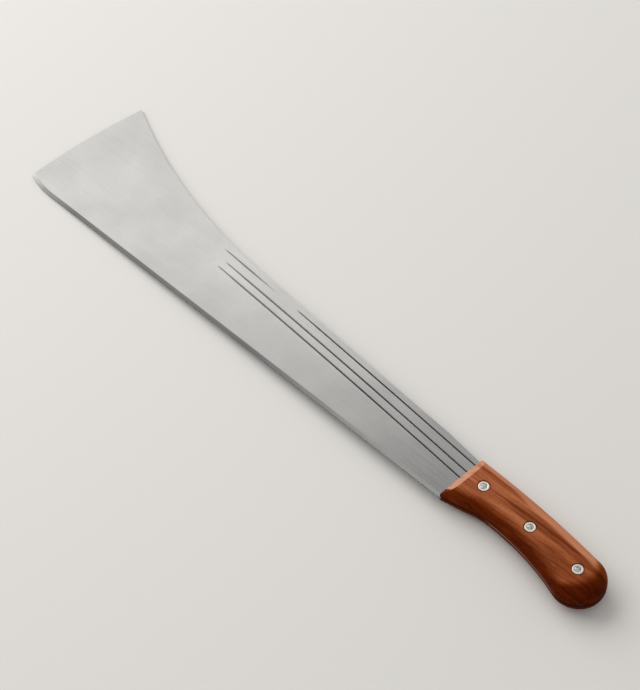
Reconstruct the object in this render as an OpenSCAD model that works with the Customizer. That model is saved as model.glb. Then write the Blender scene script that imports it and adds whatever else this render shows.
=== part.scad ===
// Flare-ended machete: a ground steel blade whose full tang lies between two riveted hardwood scales.
// Millimetres. The cutting edge runs along X with the tip at -X, the spine faces +Y and the blade
// is level. Z = 0 is the lower scale's flat outer face, and the origin lies on it, on the rivets'
// line, midway between the front and the middle rivet.

/* [Blade] */
// Length of the blade, from the heel at the scales' front to the tip
blade_l = 457; // [400:1:520]
// Thickness of the steel, in the blade and the tang
blade_t = 2; // [1.6:0.1:3]
// Height of the spine's straight line above the cutting edge, level with the heel
spine_h = 45; // [42:0.5:50]
// Angle at which the spine's straight line climbs away from the edge towards the tip
spine_slope = 3.85; // [2:0.05:5]
// Distance from the heel to where the spine starts to flare
flare_x = 245; // [200:1:300]
// Radius of the spine's flare
flare_r = 518; // [420:1:700]
// Radius of the tip's slight bow
tip_r = 570; // [300:5:1200]
// Height above the edge at which the tip's bow reaches furthest
tip_y = 13; // [5:1:60]
// Radius that turns the cutting edge up into the tip
toe_r = 72; // [40:1:120]
// Length of that turn along the edge
toe_l = 27; // [10:1:35]
// Length over which the spine drops to the scales
shoulder_l = 32; // [15:1:60]
// How far the spine lies below the scales' corner where it meets them
shoulder_step = 1; // [0.2:0.1:2]

/* [Cutting edge] */
// Width of the ground bevel
bevel_w = 3.3; // [1:0.1:8]
// Thickness left at the edge itself
edge_t = 0.4; // [0.2:0.05:1]

/* [Grooves] */
// Distance of each groove below the spine's line, measured square to it
groove_drop = [6.1, 14.7, 21.9];
// Distance of each groove's far end from the heel
groove_reach = [286, 275, 277];
// Width of a groove at the blade's face
groove_w = 1.7; // [1:0.1:2.5]
// Depth of a groove
groove_d = 0.45; // [0.2:0.05:0.6]
// Length over which a groove runs out to nothing
groove_fade = 28; // [10:1:40]
// Distance from the heel to the break in the top groove
groove_break_x = 200; // [120:1:205]
// Length of the break in the top groove
groove_break_l = 26; // [10:1:30]
// Length of groove that runs on under the scales
groove_tuck = 3; // [1:0.5:6]

/* [Grip] */
// Length of the grip along its own line
grip_l = 138; // [125:1:160]
// Angle at which the grip drops below the cutting edge's line
grip_tilt = 4.4; // [0:0.1:8]
// Thickness of each scale
scale_t = 9.5; // [9:0.1:14]
// Height of the rounding along the scales' outer edges
round_h = 8.5; // [4:0.1:8.8]
// Width of that rounding on the spine side
spine_round_w = 8.6; // [4:0.1:12]
// Width of that rounding on the belly side
belly_round_w = 11.6; // [4:0.1:14]
// Height of the grip's spine side above the heel, at its highest
crest_y = 46.4; // [44:0.1:50]
// Distance from the scales' front to that highest place
crest_x = 62.5; // [40:0.5:90]
// Radius of the spine side's bow
crest_r = 900; // [500:10:2000]
// Width of the grip at its waist
waist_w = 35; // [32:0.5:36]
// Distance from the scales' front to the waist
waist_x = 55; // [50:0.5:60]
// Radius of the round butt
butt_r = 20.8; // [19.5:0.1:22]
// Angle at which the belly side spreads down to the heel, from the grip's line
heel_angle = 17; // [15:0.5:19]
// Radius of the bend where that spread starts
heel_bend_r = 60; // [40:5:80]
// Height of the scales' front corner above the edge's line
heel_gap = 0.4; // [0:0.1:2]

/* [Front of the scales] */
// Length of the sloping front face
slope_l = 7.2; // [3:0.1:12]
// Height of the square step at the foot of the slope
slope_foot = 3; // [0.3:0.1:5]
// Angle at which the front leans forward on the spine side, from square to the grip's line
front_lean = 2; // [0:0.5:4]

/* [Rivets] */
// Distance from the scales' front to the front rivet
rivet_x = 19.2; // [18:0.1:25]
// Distance between neighbouring rivets
rivet_pitch = 47.5; // [40:0.5:48.5]
// Height of the rivets' line above the heel
rivet_y = 25.6; // [24.5:0.1:27.5]
// Diameter of a rivet's shank
shank_d = 4.2; // [3.6:0.1:4.6]
// Diameter of a rivet's peened head
head_d = 5.2; // [5:0.1:6]
// Height of a peened head
head_h = 0.4; // [0.2:0.05:0.6]
// Height of the short wall round a peened head
head_wall = 0.15; // [0.05:0.05:0.15]
// Outer diameter of a washer
washer_d = 8.4; // [8:0.1:10]
// Thickness of a washer
washer_t = 1.3; // [1:0.1:2]
// Size of the bevel round a washer's outer face
washer_edge = 0.3; // [0.1:0.05:0.4]
// Radial clearance round a rivet's shank
shank_gap = 0.1; // [0.05:0.05:0.2]
// Radial clearance round a washer in its seat
washer_gap = 0.6; // [0.1:0.05:0.7]

/* [Hidden] */
PLACES = ["front", "middle", "rear"];
$fn = 180;

// How far a cutting shape reaches past what it cuts
over = 1;
// How far the rounding would rise past a scale's flat face, which cuts it off at a soft edge
crown = 0.15;
// Steps along the rounding and along each of the grip's arcs
round_steps = 10;
crest_steps = 12;
butt_steps = 40;
waist_steps = 16;
bend_steps = 6;
mid_z = scale_t + blade_t / 2;
grip_t = 2 * scale_t + blade_t;

// The grip's outline is four tangent arcs and a straight run, in the grip's own frame, which
// starts at the heel: crest, butt, waist, bend, and the run down to the heel.
crest_c = [crest_x, crest_y - crest_r];
butt_x = grip_l - butt_r;
butt_c = [butt_x, crest_c.y + sqrt((crest_r - butt_r) ^ 2 - (butt_x - crest_x) ^ 2)];
waist_y = crest_y - waist_w;
waist_rise = butt_c.y - waist_y;
waist_r = ((butt_x - waist_x) ^ 2 + waist_rise ^ 2 - butt_r ^ 2) / (2 * (butt_r - waist_rise));
waist_c = [waist_x, waist_y - waist_r];
heel_way = [cos(heel_angle), sin(heel_angle)];
heel_in = [-heel_way.y, heel_way.x];
bend_start = [0, heel_gap] - heel_bend_r * heel_in;
bend_from = bend_start - waist_c;
bend_reach = waist_r - heel_bend_r;
bend_back = bend_from * heel_way;
bend_run = sqrt(bend_back ^ 2 - bend_from * bend_from + bend_reach ^ 2) - bend_back;
bend_c = bend_start + bend_run * heel_way;

// The directions square to the outline where the crest meets the butt and the butt meets the waist
crest_out = (butt_c - crest_c) / (crest_r - butt_r);
waist_out = (waist_c - butt_c) / (waist_r + butt_r);

// How far the front leans forward at the spine, and the place where it meets the spine side there
lean_x = -grip_line(0)[0][0].y * tan(front_lean);
scale_corner = grip_line(lean_x)[0][0];

// The origin's place in the blade's frame, whose own origin is the heel
origin = tilted([rivet_x + rivet_pitch / 2, rivet_y]);

flare_h = spine_at(-flare_x);
flare_c = [-flare_x + flare_r * sin(spine_slope), flare_h + flare_r * cos(spine_slope)];
groove_r = groove_w ^ 2 / (8 * groove_d) + groove_d / 2;

shank_r = shank_d / 2;
hole_r = shank_r + shank_gap;
washer_r = washer_d / 2;
seat_r = washer_r + washer_gap;
head_r = head_d / 2;
dish_r = head_r + shank_gap;
dome_h = head_h - head_wall;
dome_r = (head_r ^ 2 + dome_h ^ 2) / (2 * dome_h);

function spine_at(x) = spine_h - x * tan(spine_slope);
function rivet_at(i) = [rivet_x + i * rivet_pitch, rivet_y];
function heading(v) = atan2(v.y, v.x);

// A place on the grip's own line, as seen in the blade's frame
function tilted(p) = [
    p.x * cos(grip_tilt) + p.y * sin(grip_tilt),
    p.y * cos(grip_tilt) - p.x * sin(grip_tilt),
];

// Places along an arc, each with the direction that faces out of the grip there. Side is 1 where
// the grip bulges and -1 where it is hollow.
function arc(centre, size, side, from, to, steps) = [
    for (i = [0 : steps - 1])
        let (turn = from + (to - from) * i / steps, out = [cos(turn), sin(turn)])
            [centre + size * out, side * out]
];

// The grip's outline from its spine side round the butt to the heel, starting and ending at front
function grip_line(front) =
    let (crest_from = acos((front - crest_c.x) / crest_r))
    concat(
        arc(crest_c, crest_r, 1, crest_from, heading(crest_out), crest_steps),
        arc(butt_c, butt_r, 1, heading(crest_out), heading(waist_out), butt_steps),
        arc(waist_c, waist_r, -1, heading(-waist_out), heading(bend_c - waist_c), waist_steps),
        arc(bend_c, heel_bend_r, -1, heading(bend_c - waist_c), heading(heel_in), bend_steps),
        arc(bend_c, heel_bend_r, -1, heading(heel_in), heading(heel_in), 1),
        [[[front, heel_gap + front * tan(heel_angle)], -heel_in]]
    );

// Width of a scale's rounding where its side faces out
function round_w(out) = belly_round_w + (spine_round_w - belly_round_w) * (1 + out.y) / 2;

// Puts what starts at the heel, along the cutting edge, into the part's frame
module from_heel() translate([-origin.x, -origin.y, 0]) children();

// Puts what lies along the grip's own line into the part's frame
module along_grip() from_heel() rotate(-grip_tilt) children();

// Outline of the blade, up to the tang
module blade_outline() {
    difference() {
        intersection() {
            polygon([
                [0, 0],
                [-blade_l, 0],
                [-blade_l, flare_c.y],
                [-flare_x, flare_c.y],
                [-flare_x, flare_h],
                [-shoulder_l, spine_at(-shoulder_l)],
                tilted(scale_corner) - [0, shoulder_step],
                tilted(rivet_at(0)),
            ]);
            translate([tip_r - blade_l, tip_y]) circle(tip_r);
        }
        translate(flare_c) circle(flare_r);
        toe_corner();
    }
}

// The corner that the toe's radius takes off the blade
module toe_corner() {
    difference() {
        translate([-blade_l, -over]) square([toe_l, toe_r / 2]);
        translate([toe_l - blade_l, toe_r]) circle(toe_r);
    }
}

// Outline of the full tang, flush with both scales
module tang_outline() {
    intersection() {
        polygon([for (place = grip_line(lean_x - over)) place[0]]);
        rotate(front_lean) translate([0, -crest_y]) square([grip_l + crest_y, 3 * crest_y]);
    }
}

// Section through the steel that the bevel takes off one face, measured inward from the edge
module bevel_section() {
    polygon([
        [-over, edge_t / 2],
        [0, edge_t / 2],
        [bevel_w, blade_t / 2],
        [bevel_w, blade_t / 2 + over],
        [-over, blade_t / 2 + over],
    ]);
}

// What the bevel takes off one face: a straight run and the turn round the toe
module bevel_cut() {
    straight_l = blade_l - toe_l;
    translate([-straight_l, 0, 0]) rotate([90, 0, 90]) linear_extrude(straight_l) bevel_section();
    intersection() {
        translate([toe_l - blade_l, toe_r, 0])
            rotate_extrude()
                translate([toe_r, 0]) mirror([1, 0]) bevel_section();
        translate([-blade_l - over, -over, 0]) cube([toe_l + over, toe_r / 2, blade_t]);
    }
}

// A round-bottomed groove that runs out at its far end, and at its near end too where asked
module groove_cut(near_x, far_x, near_fade) {
    run = far_x - near_x;
    shallow_r = groove_r - groove_d;
    translate([-near_x, 0, blade_t / 2 + shallow_r])
        rotate([0, -90, 0])
            rotate_extrude()
                polygon([
                    [0, 0],
                    [near_fade > 0 ? shallow_r : groove_r, 0],
                    [groove_r, near_fade],
                    [groove_r, run - groove_fade],
                    [shallow_r, run],
                    [0, run],
                ]);
}

// The grooves of one face, along the spine's line
module grooves() {
    translate([0, spine_h, 0]) rotate(-spine_slope) {
        translate([0, -groove_drop[0], 0]) {
            groove_cut(-groove_tuck, groove_break_x, 0);
            groove_cut(groove_break_x + groove_break_l, groove_reach[0], groove_fade);
        }
        for (i = [1 : len(groove_drop) - 1])
            translate([0, -groove_drop[i], 0]) groove_cut(-groove_tuck, groove_reach[i], 0);
    }
}

// Ground steel blade and full tang in one plate
module blade() {
    color("lightgray") from_heel() translate([0, 0, mid_z]) difference() {
        translate([0, 0, -blade_t / 2]) linear_extrude(blade_t) {
            blade_outline();
            rotate(-grip_tilt) tang_outline();
        }
        for (face = [0, 1]) mirror([0, 0, face]) {
            bevel_cut();
            grooves();
        }
        rotate(-grip_tilt) for (i = [0 : len(PLACES) - 1])
            translate([rivet_at(i).x, rivet_at(i).y, -blade_t]) cylinder(r = hole_r, h = 2 * blade_t);
    }
}

// A scale's shell: the grip's outline, rounded in towards the outer face
module rounded_shell() {
    line = grip_line(lean_x - over);
    count = len(line);
    rings = concat([[0, -over]], [
        for (i = [0 : round_steps])
            let (turn = 90 * i / round_steps)
                [1 - cos(turn), scale_t - round_h + (round_h + crown) * sin(turn)]
    ]);
    polyhedron(
        points = [
            for (ring = rings, place = line)
                let (p = place[0] - ring[0] * round_w(place[1]) * place[1]) [p.x, p.y, ring[1]]
        ],
        faces = concat(
            [[for (i = [count - 1 : -1 : 0]) i]],
            [[for (i = [0 : count - 1]) (len(rings) - 1) * count + i]],
            [
                for (k = [0 : len(rings) - 2], i = [0 : count - 1])
                    let (low = k * count, next = (i + 1) % count)
                        [low + i, low + next, low + count + next, low + count + i]
            ]
        )
    );
}

// Side view of a scale, with its sloping front
module front_profile() {
    polygon([
        [0, 0],
        [0, slope_foot],
        [slope_l, scale_t],
        [grip_l + crest_y, scale_t],
        [grip_l + crest_y, 0],
    ]);
}

// One finished scale with its inner face at Z = 0
module carved_scale() {
    difference() {
        intersection() {
            rounded_shell();
            rotate(front_lean) translate([0, 2 * crest_y, 0])
                rotate([90, 0, 0]) linear_extrude(3 * crest_y) front_profile();
        }
        for (i = [0 : len(PLACES) - 1]) translate([rivet_at(i).x, rivet_at(i).y, 0]) {
            translate([0, 0, -over]) cylinder(r = hole_r, h = scale_t + 2 * over);
            translate([0, 0, scale_t - washer_t]) cylinder(r = seat_r, h = washer_t + over);
        }
    }
}

// Hardwood scale over the face that shows
module upper_scale() color("sienna") along_grip() translate([0, 0, grip_t - scale_t]) carved_scale();

// Hardwood scale under the tang
module lower_scale()
    color("sienna") along_grip() translate([0, 0, scale_t]) mirror([0, 0, 1]) carved_scale();

// Low dome hammered into a washer's dish, standing on Z = 0
module peened_head() {
    intersection() {
        cylinder(r = head_r, h = head_h);
        translate([0, 0, head_h - dome_r]) sphere(dome_r);
    }
}

// Rivet through both scales and the tang, flush with both outer faces
module rivet(i) {
    color("silver") along_grip() translate([rivet_at(i).x, rivet_at(i).y, mid_z]) {
        translate([0, 0, head_h - mid_z]) cylinder(r = shank_r, h = grip_t - 2 * head_h);
        for (face = [0, 1]) mirror([0, 0, face]) translate([0, 0, mid_z - head_h]) peened_head();
    }
}

// Section through a washer, with its hole, its dish for the head and its bevelled rim
module washer_section() {
    polygon([
        [hole_r, 0],
        [washer_r, 0],
        [washer_r, washer_t - washer_edge],
        [washer_r - washer_edge, washer_t],
        [dish_r, washer_t],
        [dish_r, washer_t - head_h],
        [hole_r, washer_t - head_h],
    ]);
}

// Washer in its seat, flush with the upper face or the lower one
module washer(i, face) {
    color("gainsboro") along_grip() translate([rivet_at(i).x, rivet_at(i).y, mid_z])
        mirror([0, 0, face]) translate([0, 0, mid_z - washer_t]) rotate_extrude() washer_section();
}

blade();
upper_scale();
lower_scale();
for (i = [0 : len(PLACES) - 1]) {
    rivet(i);
    washer(i, 0);
    washer(i, 1);
}
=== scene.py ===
import math
import bmesh
import bpy
from mathutils import Matrix, Vector, noise


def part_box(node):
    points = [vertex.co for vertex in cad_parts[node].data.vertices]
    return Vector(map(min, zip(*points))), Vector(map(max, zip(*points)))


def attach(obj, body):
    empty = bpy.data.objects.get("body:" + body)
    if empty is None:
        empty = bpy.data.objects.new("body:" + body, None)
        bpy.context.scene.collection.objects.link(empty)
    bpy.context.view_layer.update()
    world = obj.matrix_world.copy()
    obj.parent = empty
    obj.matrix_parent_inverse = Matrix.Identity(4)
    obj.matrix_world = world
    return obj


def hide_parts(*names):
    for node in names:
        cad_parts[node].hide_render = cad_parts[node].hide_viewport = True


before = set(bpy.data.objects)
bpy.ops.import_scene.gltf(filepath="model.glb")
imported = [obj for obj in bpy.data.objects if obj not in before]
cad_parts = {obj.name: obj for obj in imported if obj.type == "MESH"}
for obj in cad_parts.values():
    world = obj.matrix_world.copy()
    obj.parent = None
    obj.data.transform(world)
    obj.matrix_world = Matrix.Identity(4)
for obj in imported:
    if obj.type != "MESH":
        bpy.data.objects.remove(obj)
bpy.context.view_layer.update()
print("frame loaded:", len(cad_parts), "nodes")

mm = 0.001  # everything below is in millimetres until it goes into a mesh or a node


def toLinear(hexText):
    # sRGB hex to the linear values that shaders want
    parts = [int(hexText[i:i + 2], 16) / 255 for i in (1, 3, 5)]
    return [c / 12.92 if c <= 0.04045 else ((c + 0.055) / 1.055) ** 2.4 for c in parts] + [1.0]


def addNode(tree, kind, settings=None, links=None):
    # names that match a socket set its value, the rest are the node's own options
    node = tree.nodes.new("ShaderNode" + kind)
    for name, value in (settings or {}).items():
        if name == "ramp":
            stops = node.color_ramp.elements
            while len(stops) < len(value):
                stops.new(0.5)
            for stop, (place, colour) in zip(stops, value):
                stop.position, stop.color = place, colour
        elif isinstance(name, int) or name in node.inputs:
            node.inputs[name].default_value = value
        else:
            setattr(node, name, value)
    for name, source in (links or {}).items():
        source, output = source if isinstance(source, tuple) else (source, 0)
        tree.links.new(source.outputs[output], node.inputs[name])
    return node


def newMaterial(name):
    material = bpy.data.materials.new(name)
    material.use_nodes = True
    material.node_tree.nodes.clear()
    return material, material.node_tree


def setFinish(piece, material):
    piece.data.materials.clear()
    piece.data.materials.append(material)


def addObject(name, data):
    thing = bpy.data.objects.new(name, data)
    bpy.context.scene.collection.objects.link(thing)
    return thing


# The grip's outline is four tangent arcs and a straight run, in the grip's own frame, which starts
# at the heel: crest, butt, waist, bend, and the run down to the heel. The sizes are the CAD part's own.
gripShape = {
    "length": 138, "tilt": 4.4,
    "crest": (62.5, 46.4), "crestRadius": 900,
    "waistX": 55, "waistWidth": 35,
    "buttRadius": 20.8,
    "heelAngle": 17, "heelBend": 60, "heelGap": 0.4,
    "rivet": (19.2, 25.6),  # the front one
}


def arcPlaces(centre, radius, side, start, end, steps):
    # places along an arc, each with the direction that faces out of the grip
    for i in range(steps):
        turn = start + (end - start) * i / steps
        out = Vector((math.cos(turn), math.sin(turn)))
        yield centre + radius * out, side * out


def heading(v):
    return math.atan2(v.y, v.x)


def gripLine(front, steps):
    # spine side, butt, belly side and heel, from front to front
    s = gripShape
    crestX, crestY = s["crest"]
    crest = Vector((crestX, crestY - s["crestRadius"]))
    buttX = s["length"] - s["buttRadius"]
    crestGap = s["crestRadius"] - s["buttRadius"]
    butt = Vector((buttX, crest.y + math.sqrt(crestGap ** 2 - (buttX - crestX) ** 2)))
    waistY = crestY - s["waistWidth"]
    rise = butt.y - waistY
    waistRadius = (buttX - s["waistX"]) ** 2 + rise ** 2 - s["buttRadius"] ** 2
    waistRadius /= 2 * (s["buttRadius"] - rise)
    waist = Vector((s["waistX"], waistY - waistRadius))
    heelAngle = math.radians(s["heelAngle"])
    heelWay = Vector((math.cos(heelAngle), math.sin(heelAngle)))
    heelIn = Vector((-heelWay.y, heelWay.x))
    bendStart = Vector((0, s["heelGap"])) - s["heelBend"] * heelIn
    back = (bendStart - waist).dot(heelWay)
    reach = (waistRadius - s["heelBend"]) ** 2
    bend = bendStart + (math.sqrt(back ** 2 - (bendStart - waist).length_squared + reach) - back) * heelWay
    runStart = bend + s["heelBend"] * heelIn
    runEnd = Vector((front, s["heelGap"] + front * math.tan(heelAngle)))
    crestOut = (butt - crest) / crestGap
    waistOut = (waist - butt) / (waistRadius + s["buttRadius"])
    crestStart = math.acos((front - crest.x) / s["crestRadius"])
    few = steps // 3
    return [
        *arcPlaces(crest, s["crestRadius"], 1, crestStart, heading(crestOut), steps),
        *arcPlaces(butt, s["buttRadius"], 1, heading(crestOut), heading(waistOut), steps),
        *arcPlaces(waist, waistRadius, -1, heading(-waistOut), heading(bend - waist), steps),
        *arcPlaces(bend, s["heelBend"], -1, heading(bend - waist), heading(heelIn), few),
        *((runStart.lerp(runEnd, i / few), -heelIn) for i in range(few + 1)),
    ]


def centreOf(node):
    low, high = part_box(node)
    return (low + high) / (2 * mm)


gripTurn = Matrix.Rotation(-math.radians(gripShape["tilt"]), 3, "Z")
heelPlace = centreOf("front_rivet") - gripTurn @ Vector((*gripShape["rivet"], 0))
heelPlace.z = 0
steelLow, steelHigh = (corner.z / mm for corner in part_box("blade"))
midZ = (steelLow + steelHigh) / 2


def newPiece(name, mesh, slotName, *nodes):
    piece = addObject(name, mesh)
    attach(piece, "root")
    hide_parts(*nodes)
    return piece


def evenShading(piece):
    piece.modifiers.new("evenShading", "WEIGHTED_NORMAL").keep_sharp = True


def spinSolid(profile, steps):
    # a closed solid of revolution round Z; the profile's places on the axis become single corners
    solid = bmesh.new()
    rings = []
    for radius, z in profile:
        count = steps if radius else 1
        rings.append([
            solid.verts.new((radius * math.cos(turn), radius * math.sin(turn), z))
            for turn in (math.tau * i / count for i in range(count))
        ])
    closed = bool(profile[0][0])
    for k in range(len(rings) - (0 if closed else 1)):
        low, high = rings[k], rings[(k + 1) % len(rings)]
        for i in range(steps):
            j = (i + 1) % steps
            corners = [low[i % len(low)], low[j % len(low)], high[j % len(high)], high[i % len(high)]]
            solid.faces.new(list(dict.fromkeys(corners)))
    bmesh.ops.recalc_face_normals(solid, faces=solid.faces)
    return solid


def finishMesh(solid, name, sharpAngle):
    mesh = bpy.data.meshes.new(name)
    solid.to_mesh(mesh)
    solid.free()
    for face in mesh.polygons:
        face.use_smooth = True
    mesh.set_sharp_from_angle(angle=math.radians(sharpAngle))
    return mesh


def toPart(solid, centre, face):
    # from a place on the grip, in millimetres, to metres; face -1 turns the piece over
    if face < 0:
        bmesh.ops.scale(solid, vec=(1, 1, -1), verts=solid.verts)
        bmesh.ops.reverse_faces(solid, faces=solid.faces)
    bmesh.ops.translate(solid, vec=centre, verts=solid.verts)
    bmesh.ops.scale(solid, vec=(mm, mm, mm), verts=solid.verts)


# Two oiled hardwood scales, rounded along their sides, with the ridges of the front slope softened
scaleSetup = {
    "thickness": 9.5,
    "roundHeight": 8.5, "spineRound": 8.6, "bellyRound": 11.6, "crown": 0.15,
    "slopeLength": 7.2, "slopeFoot": 3, "lean": 2,
    "front": -4,  # where the shell starts, before its front is cut
    "inset": 0.02,  # keeps the finer outline inside the CAD part's facets
    "rings": 20, "outlineSteps": 60,
    "partingBevel": 0.15,
    "ridgeBevel": 0.5, "ridgeSteps": 3,
    # an edge is one of the front's ridges if it is this sharp, starts within this of the slope and
    # lies over this height
    "ridgeAngle": 20, "ridgeMargin": 0.5, "ridgeFoot": 0.3,
    "unevenness": 0.16, "unevenSpan": 14, "unevenLevel": 0.5,  # hand sanding, on the rounding only
    "holeRadius": 2.2, "seatRadius": 4.8, "seatDepth": 1.3, "seatBevel": 0.12,
    "pitch": 47.5,
    "boreSteps": 72, "boreMargin": 1,  # the cutter runs past both faces by the margin
    "snap": 1e-4,  # a cut goes through a corner that lies this near
    "sharpAngle": 40,
}


def scaleShell():
    s = scaleSetup
    line = gripLine(s["front"], s["outlineSteps"])
    reach = s["roundHeight"] + s["crown"]
    lastTurn = math.asin(s["roundHeight"] / reach)
    base = s["thickness"] - s["roundHeight"]
    bevel = s["partingBevel"]
    # each ring's way in from the outline, in millimetres and as a share of the rounding's width, its
    # height, and its share of the unevenness
    rings = [(bevel, 0, 0.0, 0.0), (0, 0, bevel, 0.0), (0, 0, base / 2, 0.0)]
    for i in range(s["rings"] + 1):
        turn = lastTurn * i / s["rings"]
        loose = math.sin(math.pi * i / s["rings"])
        rings.append((0, 1 - math.cos(turn), base + reach * math.sin(turn), loose))
    shell = bmesh.new()
    loops = []
    for inward, share, z, loose in rings:
        loop = []
        for place, out in line:
            width = s["bellyRound"] + (s["spineRound"] - s["bellyRound"]) * (1 + out.y) / 2
            depth = s["inset"] + inward + share * width
            spot = Vector((*(place - depth * out), z))
            ripple = noise.noise(spot / s["unevenSpan"]) + s["unevenLevel"]
            spot -= Vector((*out, 1)) * loose * s["unevenness"] * max(0.0, ripple)
            loop.append(shell.verts.new(spot))
        loops.append(loop)
    count = len(line)
    for low, high in zip(loops, loops[1:]):
        for i in range(count):
            j = (i + 1) % count
            shell.faces.new((low[i], high[i], high[j], low[j]))
    shell.faces.new(loops[0])
    shell.faces.new(list(reversed(loops[-1])))
    bmesh.ops.recalc_face_normals(shell, faces=shell.faces)
    return shell


def cutFront(shell):
    # square at the foot, then sloping back to the flat
    s = scaleSetup
    lean = Matrix.Rotation(math.radians(s["lean"]), 3, "Z")
    rise = s["thickness"] - s["slopeFoot"]
    cuts = (
        (Vector((0, 0, 0)), Vector((-1, 0, 0))),
        (Vector((0, 0, s["slopeFoot"])), Vector((-rise, 0, s["slopeLength"]))),
    )
    for place, facing in cuts:
        geometry = [*shell.verts, *shell.edges, *shell.faces]
        cut = bmesh.ops.bisect_plane(
            shell, geom=geometry, plane_co=place, plane_no=lean @ facing, clear_outer=True, dist=s["snap"],
        )
        edges = [part for part in cut["geom_cut"] if isinstance(part, bmesh.types.BMEdge)]
        bmesh.ops.holes_fill(shell, edges=edges, sides=0)
    bmesh.ops.recalc_face_normals(shell, faces=shell.faces)


def softenRidges(shell):
    s = scaleSetup
    ridges = [
        edge for edge in shell.edges
        if len(edge.link_faces) == 2 and edge.calc_face_angle() > math.radians(s["ridgeAngle"])
        and min(v.co.x for v in edge.verts) < s["slopeLength"] + s["ridgeMargin"]
        and max(v.co.z for v in edge.verts) > s["ridgeFoot"]
    ]
    bmesh.ops.bevel(
        shell, geom=ridges, offset=s["ridgeBevel"], segments=s["ridgeSteps"], affect="EDGES",
        profile=0.5,  # a round one
        clamp_overlap=True, offset_type="OFFSET",
    )


def scaleBores():
    # shank holes and washer seats, each seat with a small bevel at its mouth
    s = scaleSetup
    top, floor = s["thickness"], s["thickness"] - s["seatDepth"]
    mouth = s["seatRadius"] + 2 * s["seatBevel"]
    profile = [
        (0, -s["boreMargin"]), (s["holeRadius"], -s["boreMargin"]),
        (s["holeRadius"], floor), (s["seatRadius"], floor),
        (s["seatRadius"], top - s["seatBevel"]), (mouth, top + s["seatBevel"]),
        (mouth, top + s["boreMargin"]), (0, top + s["boreMargin"]),
    ]
    bores = bmesh.new()
    for i in range(3):
        bore = spinSolid(profile, s["boreSteps"])
        centre = Vector((gripShape["rivet"][0] + i * s["pitch"], gripShape["rivet"][1], 0))
        bmesh.ops.translate(bore, vec=centre, verts=bore.verts)
        spare = bpy.data.meshes.new("bore")
        bore.to_mesh(spare)
        bore.free()
        bores.from_mesh(spare)
        bpy.data.meshes.remove(spare)
    return bores


def makeScale(name, face):
    shell = scaleShell()
    cutFront(shell)
    softenRidges(shell)
    helpers = []
    for label, solid in (("shell", shell), ("bores", scaleBores())):
        mesh = bpy.data.meshes.new(label)
        solid.to_mesh(mesh)
        solid.free()
        helpers.append(addObject(label, mesh))
    cutter = helpers[0].modifiers.new("bores", "BOOLEAN")
    cutter.operation, cutter.solver, cutter.object = "DIFFERENCE", "EXACT", helpers[1]
    solid = bmesh.new()
    solid.from_object(helpers[0], bpy.context.evaluated_depsgraph_get())
    for helper in helpers:
        bpy.data.objects.remove(helper)
    bmesh.ops.rotate(solid, cent=(0, 0, 0), matrix=gripTurn, verts=solid.verts)
    toPart(solid, heelPlace + Vector((0, 0, steelHigh if face > 0 else steelLow)), face)
    mesh = finishMesh(solid, name + "Wood", scaleSetup["sharpAngle"])
    piece = newPiece(name + "Wood", mesh, "hardwood", name)
    evenShading(piece)
    print(name, "shaped:", len(piece.data.vertices), "corners")
    return piece


# Blade and full tang in one plate. Its grooves bow a little towards the spine, as the grinder's hand did.
bladeSetup = {
    "spineHeight": 45, "spineSlope": 3.85,
    "drops": (6.1, 14.7, 21.9), "reach": (286, 275, 277), "breakStart": 200,
    "bow": 1.25, "bowSpan": 310,
    "bowFrom": (0.5, 8), "bowTo": (26, 36),  # from the spine's line: where the bow comes and goes
    "cutStep": 10,  # the long flat faces are cut this often, so that they can bow
    "weld": 1e-4,  # corners this near are one, so that the plate stays closed where it is cut
    "snap": 1e-3,  # a cut goes through a corner that lies this near
    "sharpAngle": 8,
}


def bowShare(drop):
    # how much of the bow a place takes that lies so far below the spine's line
    comes, there = bladeSetup["bowFrom"]
    goes, gone = bladeSetup["bowTo"]
    return min(1.0, max(0.0, min((drop - comes) / (there - comes), (gone - drop) / (gone - goes))))


def makeBlade():
    s = bladeSetup
    turn = Matrix.Rotation(math.radians(s["spineSlope"]), 3, "Z")
    back = turn.inverted()
    spineStart = heelPlace + Vector((0, s["spineHeight"], 0))
    solid = bmesh.new()
    solid.from_mesh(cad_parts["blade"].data)
    bmesh.ops.remove_doubles(solid, verts=solid.verts, dist=s["weld"] * mm)
    for run in range(s["cutStep"], s["bowSpan"], s["cutStep"]):
        geometry = [*solid.verts, *solid.edges, *solid.faces]
        place = (spineStart + back @ Vector((-run, 0, 0))) * mm
        bmesh.ops.bisect_plane(
            solid, geom=geometry, plane_co=place, plane_no=back @ Vector((1, 0, 0)), dist=s["snap"] * mm,
        )
    for corner in solid.verts:
        spot = turn @ (corner.co / mm - spineStart)
        run, drop = -spot.x, -spot.y
        if 0 < run < s["bowSpan"]:
            lift = s["bow"] * bowShare(drop) * math.sin(math.pi * run / s["bowSpan"])
            corner.co += back @ Vector((0, lift, 0)) * mm
    piece = newPiece("bladeSteel", finishMesh(solid, "bladeSteel", s["sharpAngle"]), "blade_steel", "blade")
    evenShading(piece)
    print("blade shaped:", len(piece.data.vertices), "corners")
    return piece


# Three rivets with ends hammered flat into their washers
rivetSetup = {
    "shankRadius": 2.1, "headRadius": 2.6, "headHeight": 0.4, "wall": 0.15,
    "rings": 16, "steps": 64,
    "dentDepth": 0.16, "dentSpan": 1.15,
    "dentSteepness": 2.2,  # how fast a dent's bowl rises to its ridge
    "dentEnd": 4,  # the higher, the nearer to the head's edge the dents go
    "sharpAngle": 50,
}


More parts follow.
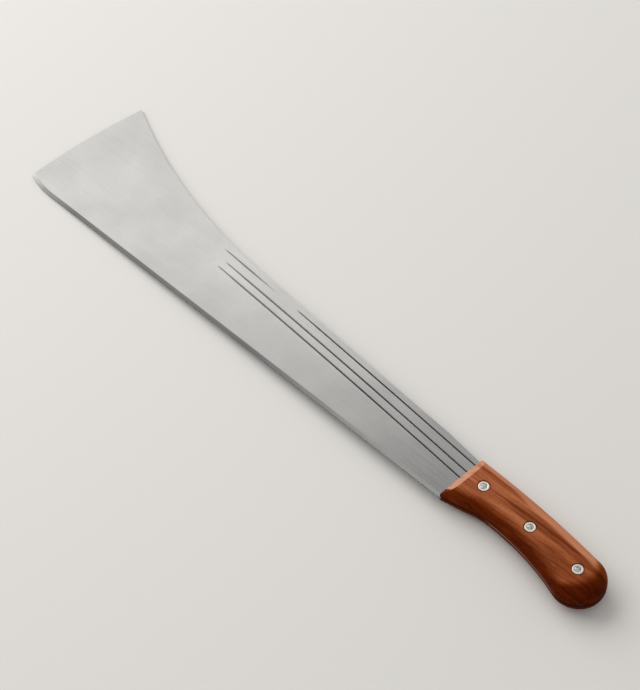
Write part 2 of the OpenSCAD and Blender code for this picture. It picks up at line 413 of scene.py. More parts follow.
def makeRivet(place):
    s = rivetSetup
    centre = centreOf(place + "_rivet")
    half = (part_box(place + "_rivet")[1].z / mm) - centre.z
    under = half - s["headHeight"]
    rise = s["headHeight"] - s["wall"]
    domeRadius = (s["headRadius"] ** 2 + rise ** 2) / (2 * rise)
    upper = []
    for i in range(s["rings"] + 1):
        radius = s["headRadius"] * i / s["rings"]
        upper.append((radius, half - domeRadius + math.sqrt(domeRadius ** 2 - radius ** 2)))
    upper += [(s["headRadius"], under), (s["shankRadius"], under)]
    solid = spinSolid(upper + [(radius, -z) for radius, z in reversed(upper)], s["steps"])
    for corner in solid.verts:
        spot = corner.co
        if abs(spot.z) < under + s["wall"] / 2:
            continue
        # dents lie in cells, so each is a shallow bowl with a ridge round it
        near = noise.voronoi((spot + centre) / s["dentSpan"])[0][0]
        bowl = max(0.0, 1 - s["dentSteepness"] * near)
        edge = max(0.0, 1 - (spot.xy.length / s["headRadius"]) ** s["dentEnd"])
        spot.z -= math.copysign(s["dentDepth"] * bowl * edge, spot.z)
    toPart(solid, centre, 1)
    mesh = finishMesh(solid, place + "RivetMetal", s["sharpAngle"])
    return newPiece(place + "RivetMetal", mesh, "rivet_aluminium", place + "_rivet")


# Six washers, dished for the rivets' heads and rounded at the rim
washerSetup = {
    "holeRadius": 2.2, "radius": 4.2, "thickness": 1.3, "dishRadius": 2.7,
    "rimRadius": 0.3, "rimSteps": 6,
    "lipRadius": 0.08, "lipSteps": 3,
    "steps": 96,
    "sharpAngle": 50,
}


def makeWasher(place, side, face):
    s = washerSetup
    node = place + "_" + side + "_washer"
    centre = centreOf(node)
    centre.z = (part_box(node)[1 if face > 0 else 0].z / mm) - face * s["thickness"]
    top, floor = s["thickness"], s["thickness"] - rivetSetup["headHeight"]
    rim, lip = s["rimRadius"], s["lipRadius"]
    profile = [(s["holeRadius"], 0), (s["radius"], 0)]
    for i in range(s["rimSteps"] + 1):
        turn = math.pi / 2 * i / s["rimSteps"]
        profile.append((s["radius"] - rim + rim * math.cos(turn), top - rim + rim * math.sin(turn)))
    for i in range(s["lipSteps"] + 1):
        turn = math.pi / 2 * i / s["lipSteps"]
        profile.append((s["dishRadius"] + lip - lip * math.sin(turn), top - lip + lip * math.cos(turn)))
    profile += [(s["dishRadius"], floor), (s["holeRadius"], floor)]
    solid = spinSolid(profile, s["steps"])
    toPart(solid, centre, face)
    name = place + side.capitalize() + "WasherMetal"
    piece = newPiece(name, finishMesh(solid, name, s["sharpAngle"]), "washer_steel", node)
    evenShading(piece)
    return piece


blade = makeBlade()
scales = [makeScale("upper_scale", 1), makeScale("lower_scale", -1)]
rivets = [makeRivet(place) for place in ("front", "middle", "rear")]
washers = [
    makeWasher(place, side, face)
    for place in ("front", "middle", "rear") for side, face in (("upper", 1), ("lower", -1))
]
print("rivets and washers shaped")

smooth = {"interpolation_type": "SMOOTHSTEP"}
markRoughness = 0.55
markRange = (0.3, 0.7)  # where nearly all of a mark's values lie


def longMarks(tree, place, size, detail, bend=0):
    # soft marks drawn out along the grain or along the grinding, by their length, width and depth
    shrink = [1 / side for side in size]
    squeeze = addNode(tree, "VectorMath", {"operation": "MULTIPLY", 1: shrink}, {0: place})
    return addNode(tree, "TexNoise", {
        "Scale": 1, "Detail": detail, "Roughness": markRoughness, "Distortion": bend,
    }, {"Vector": squeeze})


woodLook = {
    "light": "#bd744c", "middle": "#a45b38", "dark": "#76391e", "poreColour": "#5c2916",
    "toneSpan": (0.2, 0.18),  # dark and light lie this far below and over the middle tone
    "grainTilt": 6,  # degrees by which the grain climbs towards the spine on its way to the butt
    # millimetres across the grain from the heel, and how light the board's growth rings are there
    "rings": (
        (8, 0.5), (13.4, 0.46), (15.4, 0.56), (18.2, 0.66), (21.1, 0.45), (24.1, 0.33), (27.3, 0.44),
        (31.3, 0.66), (34.3, 0.5), (40, 0.5),
    ),
    "ringEven": 0.5,  # a ring of this lightness leaves the tone as it is
    "ringSway": 3,
    "ringsFrom": (36, 56, 0.15),  # the rings are faint at the front and strong from the middle on
    # marks by their length, width and depth, how finely they are broken up, and how much they bend
    "streaks": ((60, 3.2, 5), 3, 0.35), "streakShare": 0.82,
    "fibres": ((14, 0.7, 0.7), 2), "fibreShare": 0.4,  # real fibres are finer than the picture shows
    "pores": ((3.2, 0.38, 0.38), 1), "poreFrom": (0.63, 0.7, 0.75),
    "patchy": (0.65, 1.1),  # the painted sheen comes and goes with the streaks
    # a painted sheen along the spine's top: its start under the bow, and how much
    # later it starts at the front
    "rim": "#c8835f", "rimFrom": (-10.2, -7.4), "rimLater": (34, 58, 2.6),
    # a painted sheen, palest on the front slope that faces the light, but less so at its corners
    "slope": "#cb9479", "slopeFacing": (-0.35, -0.6), "slopeFoot": (5.6, 7.6), "slopeTop": (33, 38, 0.35),
    "paintedShade": "#c4a66c",  # painted shade, laid on twice, where the fingers close, on the butt and at the heel corner
    "shadedSide": (0.35, -0.94, 0), "shadedSideFrom": (0.1, 0.6),  # which way the side in painted shade faces
    "buttFrom": (121, 130), "buttMiddle": 27, "buttBulge": 0.031,  # the edge of the butt's painted shade is a bow
    "buttwardDarkening": "#d7c3aa", "buttwardFrom": (10, 132),  # the wood is darker and darker towards the butt
    "darkening": "#4f2714", "seatShadeReach": (4.7, 5.4), "seatShadeShare": 0.55,  # painted shade round each washer seat, from its axis
    "seatShadeRagged": 1.6,  # how far the fibres push its edge in and out
    "roughness": (0.4, 0.52), "specular": 0.02,
    "bump": 0.05, "bumpStrength": 0.6, "poreDip": 0.6,  # pores lie deeper than the fibres' own relief
}


def gripPlace(tree, tilt):
    # millimetres from the heel, along and across a line at that tilt
    place = addNode(tree, "TexCoord")
    turn = math.radians(tilt)
    return addNode(tree, "Mapping", {
        "vector_type": "POINT", "Scale": (1 / mm,) * 3, "Rotation": (0, 0, turn),
        "Location": -(Matrix.Rotation(turn, 3, "Z") @ heelPlace),
    }, {"Vector": (place, "Object")})


def pastBow(tree, parts, out, middle, curve):
    # how far out along X or Y a place lies, measured from a flat bow with its top at the middle
    beside = "Y" if out == "X" else "X"
    off = addNode(tree, "Math", {"operation": "SUBTRACT", 1: middle}, {0: (parts, beside)})
    off = addNode(tree, "Math", {"operation": "MULTIPLY"}, {0: off, 1: off})
    return addNode(tree, "Math", {"operation": "MULTIPLY_ADD", 1: curve}, {0: off, 2: (parts, out)})


def growthRings(tree, parts, grain, streaks):
    # how much lighter or darker the board's rings make the tone
    s = woodLook
    across = addNode(tree, "SeparateXYZ", links={"Vector": grain})
    sway = addNode(tree, "Math", {"operation": "MULTIPLY_ADD", 1: s["ringSway"]}, {
        0: streaks, 2: (across, "Y"),
    })
    inner, outer = s["rings"][0][0], s["rings"][-1][0]
    ringPlace = addNode(tree, "MapRange", {
        "From Min": inner + s["ringSway"] / 2, "From Max": outer + s["ringSway"] / 2,
    }, {"Value": sway})
    rings = addNode(tree, "ValToRGB", {"ramp": [
        ((spot - inner) / (outer - inner), (light, light, light, 1)) for spot, light in s["rings"]
    ]}, {"Fac": ringPlace})
    faint, strong, least = s["ringsFrom"]
    strength = addNode(tree, "MapRange", {"From Min": faint, "From Max": strong, "To Min": least}, {
        "Value": (parts, "X"),
    })
    rings = addNode(tree, "Math", {"operation": "SUBTRACT", 1: s["ringEven"]}, {0: rings})
    return addNode(tree, "Math", {"operation": "MULTIPLY"}, {0: rings, 1: strength})


def spineSheen(tree, parts, patchy):
    # painted sheen: pale along the spine's top
    s = woodLook
    crestX, crestY = gripShape["crest"]
    over = pastBow(tree, parts, "Y", crestX, 0.5 / gripShape["crestRadius"])
    over = addNode(tree, "Math", {"operation": "SUBTRACT", 1: crestY}, {0: over})
    before, after, later = s["rimLater"]
    later = addNode(tree, "MapRange", {
        **smooth, "From Min": before, "From Max": after, "To Min": later, "To Max": 0,
    }, {"Value": (parts, "X")})
    over = addNode(tree, "Math", {"operation": "SUBTRACT"}, {0: over, 1: later})
    bare, full = s["rimFrom"]
    rim = addNode(tree, "MapRange", {**smooth, "From Min": bare, "From Max": full}, {"Value": over})
    return addNode(tree, "Math", {"operation": "MULTIPLY", "use_clamp": True}, {0: rim, 1: patchy})


def slopeSheen(tree, parts, normal, above, patchy):
    # painted sheen: palest on the front slope, by which way the surface faces
    s = woodLook
    facing = addNode(tree, "SeparateXYZ", links={"Vector": normal})
    bare, full = s["slopeFacing"]
    slope = addNode(tree, "MapRange", {**smooth, "From Min": bare, "From Max": full}, {
        "Value": (facing, "X"),
    })
    starts, ends, left = s["slopeTop"]
    under = addNode(tree, "MapRange", {
        **smooth, "From Min": starts, "From Max": ends, "To Min": 1, "To Max": left,
    }, {"Value": (parts, "Y")})
    slope = addNode(tree, "Math", {"operation": "MULTIPLY"}, {0: slope, 1: above})
    slope = addNode(tree, "Math", {"operation": "MULTIPLY"}, {0: slope, 1: under})
    return addNode(tree, "Math", {"operation": "MULTIPLY", "use_clamp": True}, {0: slope, 1: patchy})


def shadedPlaces(tree, parts, normal, above):
    # painted shade where the fingers close, on the butt and at the heel corner
    s = woodLook
    shadedSide = addNode(tree, "VectorMath", {"operation": "DOT_PRODUCT", 1: s["shadedSide"]}, {0: normal})
    bare, full = s["shadedSideFrom"]
    shadedSide = addNode(tree, "MapRange", {**smooth, "From Min": bare, "From Max": full}, {
        "Value": (shadedSide, "Value"),
    })
    butt = pastBow(tree, parts, "X", s["buttMiddle"], s["buttBulge"])
    bare, full = s["buttFrom"]
    butt = addNode(tree, "MapRange", {**smooth, "From Min": bare, "From Max": full}, {"Value": butt})
    # either one, without a corner where they meet
    paintedShade = addNode(tree, "Mix", {"data_type": "FLOAT", 3: 1.0}, {0: butt, 2: shadedSide})
    corner = addNode(tree, "Math", {"operation": "MULTIPLY_ADD", 1: -1, 2: 1}, {0: above})
    return addNode(tree, "Math", {"operation": "MAXIMUM"}, {0: paintedShade, 1: corner})


def washerSeatShade(tree, parts, fibres):
    # painted shade round the washers' seats, which stand a pitch apart
    s = woodLook
    rivetX, rivetY = gripShape["rivet"]
    half = scaleSetup["pitch"] / 2
    along = addNode(tree, "Math", {"operation": "SUBTRACT", 1: rivetX}, {0: (parts, "X")})
    along = addNode(tree, "Math", {"operation": "WRAP", 1: half, 2: -half}, {0: along})
    beside = addNode(tree, "Math", {"operation": "SUBTRACT", 1: rivetY}, {0: (parts, "Y")})
    spot = addNode(tree, "CombineXYZ", links={"X": along, "Y": beside})
    away = addNode(tree, "VectorMath", {"operation": "LENGTH"}, {0: spot})
    ragged = addNode(tree, "Math", {"operation": "MULTIPLY_ADD", 1: s["seatShadeRagged"]}, {
        0: fibres, 2: (away, "Value"),
    })
    near, far = (reach + s["seatShadeRagged"] / 2 for reach in s["seatShadeReach"])
    return addNode(tree, "MapRange", {
        **smooth, "From Min": far, "From Max": near, "To Max": s["seatShadeShare"],
    }, {"Value": ragged})


def makeWood(name, shift):
    # oiled reddish hardwood, sanded: broad growth rings and dark streaks that climb a little along the
    # grip, fine fibres and short open pores; a painted sheen on the front slope and along the spine, painted
    # shade where the fingers close, on the butt, at the heel corner and round the washers; darker towards the
    # butt
    s = woodLook
    material, tree = newMaterial(name)
    normal = (addNode(tree, "TexCoord"), "Normal")
    parts = addNode(tree, "SeparateXYZ", links={"Vector": gripPlace(tree, gripShape["tilt"])})
    grain = gripPlace(tree, gripShape["tilt"] - s["grainTilt"])
    place = addNode(tree, "VectorMath", {"operation": "ADD", 1: shift}, {0: grain})
    streaks, fibres, pores = (longMarks(tree, place, *s[kind]) for kind in ("streaks", "fibres", "pores"))

    blend = growthRings(tree, parts, grain, streaks)
    blend = addNode(tree, "Math", {"operation": "MULTIPLY_ADD", 1: s["streakShare"]}, {0: streaks, 2: blend})
    blend = addNode(tree, "Math", {"operation": "MULTIPLY_ADD", 1: s["fibreShare"]}, {0: fibres, 2: blend})
    even = (s["streakShare"] + s["fibreShare"]) / 2
    below, over = s["toneSpan"]
    tone = addNode(tree, "ValToRGB", {"ramp": [
        (even - below, toLinear(s["dark"])),
        (even, toLinear(s["middle"])),
        (even + over, toLinear(s["light"])),
    ]}, {"Fac": blend})
    starts, full, most = s["poreFrom"]
    inPore = addNode(tree, "MapRange", {"From Min": starts, "From Max": full, "To Max": most}, {
        "Value": pores,
    })
    colour = addNode(tree, "Mix", {"data_type": "RGBA", 7: toLinear(s["poreColour"])}, {0: inPore, 6: tone})

    # darker and darker towards the butt
    first, last = s["buttwardFrom"]
    buttwardDarkening = addNode(tree, "MapRange", {"From Min": first, "From Max": last}, {"Value": (parts, "X")})
    buttwardDarkening = addNode(tree, "Mix", {"data_type": "RGBA", 6: (1, 1, 1, 1), 7: toLinear(s["buttwardDarkening"])}, {
        0: buttwardDarkening,
    })
    colour = addNode(tree, "VectorMath", {"operation": "MULTIPLY"}, {0: (colour, 2), 1: (buttwardDarkening, 2)})

    starts, full = markRange
    least, most = s["patchy"]
    patchy = addNode(tree, "MapRange", {
        "From Min": starts, "From Max": full, "To Min": least, "To Max": most,
    }, {"Value": streaks})
    bare, full = s["slopeFoot"]
    above = addNode(tree, "MapRange", {**smooth, "From Min": bare, "From Max": full}, {"Value": (parts, "Y")})
    # painted sheen along the spine's top and on the front slope
    rim = spineSheen(tree, parts, patchy)
    slope = slopeSheen(tree, parts, normal, above, patchy)
    colour = addNode(tree, "Mix", {"data_type": "RGBA", 7: toLinear(s["rim"])}, {0: rim, 6: colour})
    colour = addNode(tree, "Mix", {"data_type": "RGBA", 7: toLinear(s["slope"])}, {0: slope, 6: (colour, 2)})

    # painted shade, laid on twice
    paintedShade = shadedPlaces(tree, parts, normal, above)
    shadeFactor = addNode(tree, "Mix", {"data_type": "RGBA", 6: (1, 1, 1, 1), 7: toLinear(s["paintedShade"])}, {0: paintedShade})
    colour = addNode(tree, "VectorMath", {"operation": "MULTIPLY"}, {0: (colour, 2), 1: (shadeFactor, 2)})
    colour = addNode(tree, "VectorMath", {"operation": "MULTIPLY"}, {0: colour, 1: (shadeFactor, 2)})

    # painted shade round each washer seat
    darkening = washerSeatShade(tree, parts, fibres)
    colour = addNode(tree, "Mix", {"data_type": "RGBA", 7: toLinear(s["darkening"])}, {0: darkening, 6: colour})

    starts, full = markRange
    least, most = s["roughness"]
    rough = addNode(tree, "MapRange", {
        "From Min": starts, "From Max": full, "To Min": least, "To Max": most,
    }, {"Value": fibres})
    height = addNode(tree, "Math", {"operation": "MULTIPLY_ADD", 1: -s["poreDip"]}, {0: inPore, 2: fibres})
    bump = addNode(tree, "Bump", {"Strength": s["bumpStrength"], "Distance": s["bump"] * mm}, {
        "Height": height,
    })
    shader = addNode(tree, "BsdfPrincipled", {"IOR": 1.5, "Specular IOR Level": s["specular"]}, {
        "Base Color": (colour, 2), "Roughness": rough, "Normal": bump,
    })
    addNode(tree, "OutputMaterial", links={"Surface": shader})
    return material


steelLook = {
    "flat": "#7d7c7a", "grooveShade": "#1c1c20",
    # painted shade along the bevel, deepest in its middle, lightest at toe and heel: places along the edge
    "bevel": (
        (-457, "#83837f"), (-438, "#5a5a58"), (-400, "#464645"), (-190, "#454545"), (-110, "#5f5f5e"),
        (-20, "#7f7f7e"),
    ),
    "bevelDepth": (0.01, 0.16), "bevelWithin": 12,  # below the blade's face, and from the edge
    "flatShading": (0.86, 1.08), "flatShadingSpan": (4, 44), "flatShadingFrom": (-420, -260),  # painted shade on the flat near the edge and painted light towards the spine
    "shadeCore": 0.3, "shadeSoft": 0.42, "shadeEnd": 6,  # painted shade: a dark line along each groove's bottom
    "shadeThins": (110, 250, 0.72),  # from and to along the groove, and what is left of the line there
    "shadeFacing": 0.5,  # the lines are kept off the plate's sides
    "breakEnd": (216, 252),  # where the line comes back after the break in the top groove
    "tang": "#2c130a", "tangHighlight": "#7c5444",  # dark brown, and a painted highlight where the fingers lie
    "tangFrom": 1, "tangBright": (34, 46, 104, 118),  # from the heel: where the bright stretch comes and goes
    "tangFacing": (-0.5, -0.9),  # only the side that faces the belly gets the painted highlight
    "roughness": 0.25, "roughnessSwing": 0.12, "dirtRoughness": 0.7, "specular": 0.03,
    "streaks": ((70, 0.9, 50), 3),  # grinding marks, drawn coarser than real ones
    "cloudSpan": 38, "streakShare": 0.3, "cloudShare": 0.34,
}


def grooveShadeLines(tree, place):
    # 1 along each groove's bottom, where its painted shade goes, in the grooves' own frame: along and below
    # the spine's line
    s, look = bladeSetup, steelLook
    slope = math.radians(s["spineSlope"])
    own = addNode(tree, "Mapping", {
        "vector_type": "POINT", "Rotation": (0, 0, slope),
        "Location": (s["spineHeight"] * math.sin(slope), -s["spineHeight"] * math.cos(slope), 0),
    }, {"Vector": place})
    parts = addNode(tree, "SeparateXYZ", links={"Vector": own})
    run = addNode(tree, "Math", {"operation": "MULTIPLY", 1: -1}, {0: (parts, "X")})
    turn = addNode(tree, "Math", {"operation": "MULTIPLY", 1: math.pi / s["bowSpan"]}, {0: run})
    wave = addNode(tree, "Math", {"operation": "SINE"}, {0: turn})
    near, far = look["shadeCore"], look["shadeCore"] + look["shadeSoft"]
    lines = None
    for i, (drop, reach) in enumerate(zip(s["drops"], s["reach"])):
        height = addNode(tree, "Math", {"operation": "MULTIPLY_ADD", 1: -s["bow"] * bowShare(drop)}, {
            0: wave, 2: (parts, "Y"),
        })
        off = addNode(tree, "Math", {"operation": "ADD", 1: drop}, {0: height})
        off = addNode(tree, "Math", {"operation": "ABSOLUTE"}, {0: off})
        line = addNode(tree, "MapRange", {**smooth, "From Min": far, "From Max": near}, {"Value": off})
        ends = addNode(tree, "MapRange", {
            **smooth, "From Min": reach, "From Max": reach - look["shadeEnd"],
        }, {"Value": run})
        line = addNode(tree, "Math", {"operation": "MULTIPLY"}, {0: line, 1: ends})
        if i == 0:
            stop, back, full = s["breakStart"], *look["breakEnd"]
            before = addNode(tree, "MapRange", {
                **smooth, "From Min": stop, "From Max": stop - look["shadeEnd"],
            }, {"Value": run})
            after = addNode(tree, "MapRange", {**smooth, "From Min": back, "From Max": full}, {"Value": run})
            there = addNode(tree, "Math", {"operation": "MAXIMUM"}, {0: before, 1: after})
            line = addNode(tree, "Math", {"operation": "MULTIPLY"}, {0: line, 1: there})
        lines = addNode(tree, "Math", {"operation": "MAXIMUM"}, {0: lines, 1: line}) if lines else line
    full, thin, left = look["shadeThins"]
    thinning = addNode(tree, "MapRange", {"From Min": full, "From Max": thin, "To Min": 1, "To Max": left}, {
        "Value": run,
    })
    return addNode(tree, "Math", {"operation": "MULTIPLY"}, {0: lines, 1: thinning})


def bevelPlace(tree, parts):
    # 1 where the plate is ground down towards the edge
    bare, full = steelLook["bevelDepth"]
    away = addNode(tree, "Math", {"operation": "SUBTRACT", 1: midZ}, {0: (parts, "Z")})
    away = addNode(tree, "Math", {"operation": "ABSOLUTE"}, {0: away})
    depth = addNode(tree, "Math", {"operation": "SUBTRACT", 0: steelHigh - midZ}, {1: away})
    ground = addNode(tree, "MapRange", {"From Min": bare, "From Max": full}, {"Value": depth})
    outer = addNode(tree, "Math", {"operation": "LESS_THAN", 1: steelLook["bevelWithin"]}, {0: (parts, "Y")})
    return addNode(tree, "Math", {"operation": "MULTIPLY"}, {0: ground, 1: outer})


def flatColour(tree, parts):
    # the flat's own colour, with painted shade towards the edge and painted light towards the spine, on the
    # handle's half
    s = steelLook
    low, high = s["flatShadingSpan"]
    least, most = s["flatShading"]
    flatShading = addNode(tree, "MapRange", {
        "From Min": low, "From Max": high, "To Min": least, "To Max": most,
    }, {"Value": (parts, "Y")})
    far, near = s["flatShadingFrom"]
    share = addNode(tree, "MapRange", {"From Min": far, "From Max": near}, {"Value": (parts, "X")})
    flatShading = addNode(tree, "Mix", {"data_type": "FLOAT", 2: 1.0}, {0: share, 3: flatShading})
    return addNode(tree, "VectorMath", {"operation": "SCALE", 0: toLinear(s["flat"])[:3]}, {"Scale": flatShading})


def tangColour(tree, parts, facing):
    # the tang's sides between the scales, with a painted highlight on the belly side
    s = steelLook
    comes, there, goes, gone = s["tangBright"]
    away, full = s["tangFacing"]
    start = addNode(tree, "MapRange", {**smooth, "From Min": comes, "From Max": there}, {
        "Value": (parts, "X"),
    })
    end = addNode(tree, "MapRange", {**smooth, "From Min": gone, "From Max": goes}, {"Value": (parts, "X")})
    side = addNode(tree, "MapRange", {**smooth, "From Min": away, "From Max": full}, {"Value": (facing, "Y")})
    bright = addNode(tree, "Math", {"operation": "MULTIPLY"}, {0: start, 1: end})
    bright = addNode(tree, "Math", {"operation": "MULTIPLY"}, {0: bright, 1: side})
    return addNode(tree, "Mix", {"data_type": "RGBA", 6: toLinear(s["tang"]), 7: toLinear(s["tangHighlight"])}, {
        0: bright,
    })


def makeSteel():
    # satin ground steel: faint streaks along the blade, a plainer ground bevel, painted shade along the bevel
    # and along the grooves' bottoms, and painted shade and light on the flat
    s = steelLook
    material, tree = newMaterial("satinGroundSteel")
    texture = addNode(tree, "TexCoord")
    place = addNode(tree, "Mapping", {
        "vector_type": "POINT", "Scale": (1 / mm,) * 3, "Location": -heelPlace,
    }, {"Vector": (texture, "Object")})
    parts = addNode(tree, "SeparateXYZ", links={"Vector": place})
    facing = addNode(tree, "SeparateXYZ", links={"Vector": (texture, "Normal")})

    # the bevel's painted shade, by place along the edge
    tip, heel = s["bevel"][0][0], s["bevel"][-1][0]
    along = addNode(tree, "MapRange", {"From Min": tip, "From Max": heel}, {"Value": (parts, "X")})
    edge = addNode(tree, "ValToRGB", {"ramp": [
        ((spot - tip) / (heel - tip), toLinear(shade)) for spot, shade in s["bevel"]
    ]}, {"Fac": along})
    bevel, flat = bevelPlace(tree, parts), flatColour(tree, parts)
    colour = addNode(tree, "Mix", {"data_type": "RGBA"}, {0: bevel, 6: flat, 7: edge})

    streaks = longMarks(tree, place, *s["streaks"])
    clouds = addNode(tree, "TexNoise", {"Scale": 1 / s["cloudSpan"], "Detail": 4}, {"Vector": place})
    steady = 1 - (s["streakShare"] + s["cloudShare"]) / 2
    vary = addNode(tree, "Math", {"operation": "MULTIPLY_ADD", 1: s["streakShare"], 2: steady}, {0: streaks})
    vary = addNode(tree, "Math", {"operation": "MULTIPLY_ADD", 1: s["cloudShare"]}, {0: clouds, 2: vary})
    colour = addNode(tree, "VectorMath", {"operation": "MULTIPLY"}, {0: (colour, 2), 1: vary})

    # painted shade along each groove's bottom, kept off the plate's sides
    level = addNode(tree, "Math", {"operation": "ABSOLUTE"}, {0: (facing, "Z")})
    up = addNode(tree, "Math", {"operation": "GREATER_THAN", 1: s["shadeFacing"]}, {0: level})
    groove = addNode(tree, "Math", {"operation": "MULTIPLY"}, {0: grooveShadeLines(tree, place), 1: up})
    colour = addNode(tree, "Mix", {"data_type": "RGBA", 7: toLinear(s["grooveShade"])}, {
        0: groove, 6: colour,
    })

    under = addNode(tree, "Math", {"operation": "GREATER_THAN", 1: s["tangFrom"]}, {0: (parts, "X")})
    tang = tangColour(tree, parts, facing)
    colour = addNode(tree, "Mix", {"data_type": "RGBA"}, {0: under, 6: (colour, 2), 7: (tang, 2)})
    bare = addNode(tree, "Math", {"operation": "MULTIPLY_ADD", 1: -1, 2: 1}, {0: under})
    swing = s["roughnessSwing"]
    rough = addNode(tree, "Math", {
        "operation": "MULTIPLY_ADD", 1: swing, 2: s["roughness"] - swing / 2,
    }, {0: streaks})
    dirty = addNode(tree, "Math", {"operation": "MULTIPLY", 1: s["dirtRoughness"]}, {0: under})
    rough = addNode(tree, "Math", {"operation": "MAXIMUM"}, {0: rough, 1: dirty})
    shader = addNode(tree, "BsdfPrincipled", {"Specular IOR Level": s["specular"]}, {
        "Base Color": (colour, 2), "Roughness": rough, "Metallic": bare,
    })
    addNode(tree, "OutputMaterial", links={"Surface": shader})
    return material


metalLook = {
    "ring": "#bfb6ad", "ringRoughness": 0.3, "ringSwing": 0.2, "scuffSpan": 1.5,
    "head": "#9b9b98", "headRoughness": 0.36,
    "headSpecks": "#2c2c2b", "speckSpan": 0.95, "speckFrom": (0.53, 0.62),
}


def makeWasherSteel():
    # bright steel worn smooth by the hand
    s = metalLook
    material, tree = newMaterial("wornBrightSteel")
    texture = addNode(tree, "TexCoord")
    scuffs = addNode(tree, "TexNoise", {"Scale": 1 / (s["scuffSpan"] * mm), "Detail": 3}, {
        "Vector": (texture, "Object"),
    })
    swing = s["ringSwing"]
    rough = addNode(tree, "Math", {
        "operation": "MULTIPLY_ADD", 1: swing, 2: s["ringRoughness"] - swing / 2,
    }, {0: scuffs})
    shader = addNode(tree, "BsdfPrincipled", {"Base Color": toLinear(s["ring"]), "Metallic": 1.0}, {
        "Roughness": rough,
    })
    addNode(tree, "OutputMaterial", links={"Surface": shader})
    return material


def makeRivetAluminium():
    # hammered aluminium: greyer than the washers, with dark specks at random
    s = metalLook
    material, tree = newMaterial("hammeredAluminium")
    texture = addNode(tree, "TexCoord")
    darkening = addNode(tree, "TexNoise", {"Scale": 1 / (s["speckSpan"] * mm), "Detail": 2}, {
        "Vector": (texture, "Object"),
    })
    clean, full = s["speckFrom"]
    left = addNode(tree, "MapRange", {"From Min": clean, "From Max": full}, {"Value": darkening})
    colour = addNode(tree, "Mix", {"data_type": "RGBA", 6: toLinear(s["head"]), 7: toLinear(s["headSpecks"])}, {
        0: left,
    })
    shader = addNode(tree, "BsdfPrincipled", {"Metallic": 1.0, "Roughness": s["headRoughness"]}, {
        "Base Color": (colour, 2),
    })
    addNode(tree, "OutputMaterial", links={"Surface": shader})
    return material


# each scale is cut from its own place in the board
setFinish(scales[0], makeWood("oiledHardwood", (410, 8.3, 13.6)))
setFinish(scales[1], makeWood("oiledHardwoodBelow", (170, 35, 12)))
setFinish(blade, makeSteel())
ringMetal, headMetal = makeWasherSteel(), makeRivetAluminium()
for washer in washers:
    setFinish(washer, ringMetal)
for rivet in rivets:
    setFinish(rivet, headMetal)
print("finishes made")

# The tool lies on its tip and on the front of its lower scale, so the floor is not quite level
# in the part's own frame: it climbs towards the tip.
floorSetup = {
    "lay": 1.17,  # degrees
    "contact": (7.2, 0, 0),  # from the heel: where the lower scale's flat starts
    "size": 8000,
    "colour": "#e6e3de",
    "roughness": 0.75, "specular": 0.2,
}
viewSetup = {
    "aim": (-165.9, 45.2, 3.4),  # from the heel
    "azimuth": -45.49,  # degrees from +X, seen from above
    "elevation": 52.0,
    "distance": 1675.7,
    "focalPixels": 2173.5,  # in the 640 x 690 picture
    "picture": (640, 690),
    "sensor": 36,
    "farthest": 50,  # metres
}
lightSetup = {
    "skyWhite": "#ffffff",  # what the camera and the metal see
    "skyLevel": 0.5,  # what lights the rest
    "keyAzimuth": 182, "keyElevation": 40, "keyDistance": 2400, "keySize": (3000, 2200), "keyPower": 50,
}

floorTurn = Matrix.Rotation(math.radians(floorSetup["lay"]), 3, "Y")
aimPlace = heelPlace + Vector(viewSetup["aim"])


def lookFrom(azimuth, elevation, distance):
    # a place round the aim point, seen over the floor, and the direction to it
    a, e = math.radians(azimuth), math.radians(elevation)
    direction = floorTurn @ Vector((math.cos(a) * math.cos(e), math.sin(a) * math.cos(e), math.sin(e)))
    return (aimPlace + direction * distance) * mm, direction


def makeCamera():
    s = viewSetup
    data = bpy.data.cameras.new("camera")
    data.sensor_width = s["sensor"]
    data.lens = s["focalPixels"] * s["sensor"] / max(s["picture"])
    data.clip_end = s["farthest"]
    camera = addObject("camera", data)
    place, direction = lookFrom(s["azimuth"], s["elevation"], s["distance"])
    right = (floorTurn @ Vector((0, 0, 1))).cross(direction).normalized()
    turn = Matrix((right, direction.cross(right), direction)).transposed()
    camera.matrix_world = Matrix.Translation(place) @ turn.to_4x4()
    bpy.context.scene.camera = camera


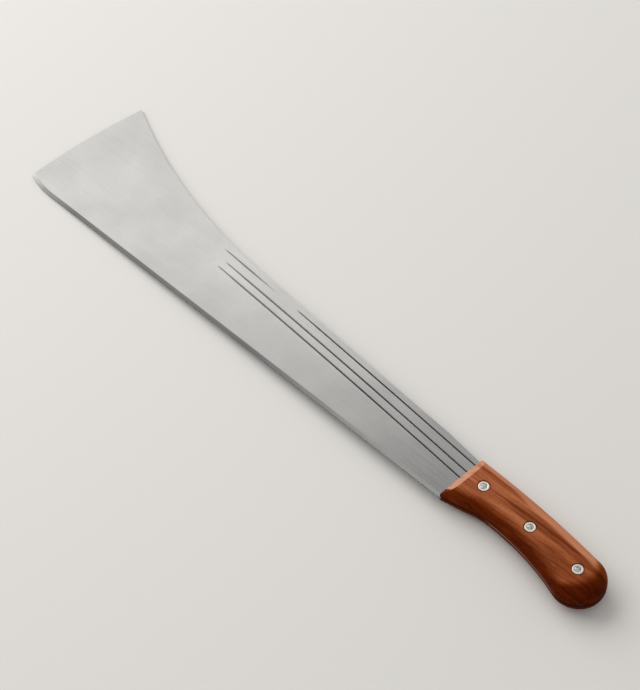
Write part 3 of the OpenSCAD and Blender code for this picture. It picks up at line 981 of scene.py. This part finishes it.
def makeFloor():
    # matt painted board: even, pale and quiet
    s = floorSetup
    half = s["size"] / 2
    contact = heelPlace + Vector(s["contact"])
    corners = [
        (contact + floorTurn @ Vector((x * half, y * half, 0))) * mm
        for x, y in ((-1, -1), (1, -1), (1, 1), (-1, 1))
    ]
    mesh = bpy.data.meshes.new("floor")
    mesh.from_pydata(corners, [], [(0, 1, 2, 3)])
    floor = addObject("floor", mesh)
    material, tree = newMaterial("paintedBoard")
    shader = addNode(tree, "BsdfPrincipled", {
        "Base Color": toLinear(s["colour"]), "Roughness": s["roughness"], "Specular IOR Level": s["specular"],
    })
    addNode(tree, "OutputMaterial", links={"Surface": shader})
    setFinish(floor, material)


def makeSky():
    world = bpy.data.worlds.new("studio")
    bpy.context.scene.world = world
    world.use_nodes = True
    tree = world.node_tree
    tree.nodes.clear()
    path = addNode(tree, "LightPath")
    seen = addNode(tree, "Math", {"operation": "MAXIMUM"}, {
        0: (path, "Is Camera Ray"), 1: (path, "Is Glossy Ray"),
    })
    seen = addNode(tree, "Math", {"operation": "MAXIMUM"}, {0: seen, 1: (path, "Is Transmission Ray")})
    colour = toLinear(lightSetup["skyWhite"])
    white = addNode(tree, "Background", {"Color": colour, "Strength": 1})
    soft = addNode(tree, "Background", {"Color": colour, "Strength": lightSetup["skyLevel"]})
    mix = addNode(tree, "MixShader", links={0: seen, 1: soft, 2: white})
    addNode(tree, "OutputWorld", links={"Surface": mix})


def makeLamp(name):
    data = bpy.data.lights.new(name, "AREA")
    data.shape = "RECTANGLE"
    data.size, data.size_y = (side * mm for side in lightSetup[name + "Size"])
    data.energy = lightSetup[name + "Power"]
    lamp = addObject(name, data)
    place, direction = lookFrom(*(lightSetup[name + part] for part in ("Azimuth", "Elevation", "Distance")))
    lamp.location = place
    lamp.rotation_euler = direction.to_track_quat("Z", "Y").to_euler()
    lamp.visible_camera = False


bpy.context.scene.view_settings.view_transform = "Standard"
makeCamera()
makeFloor()
makeSky()
makeLamp("key")
print("camera, floor and light are set")
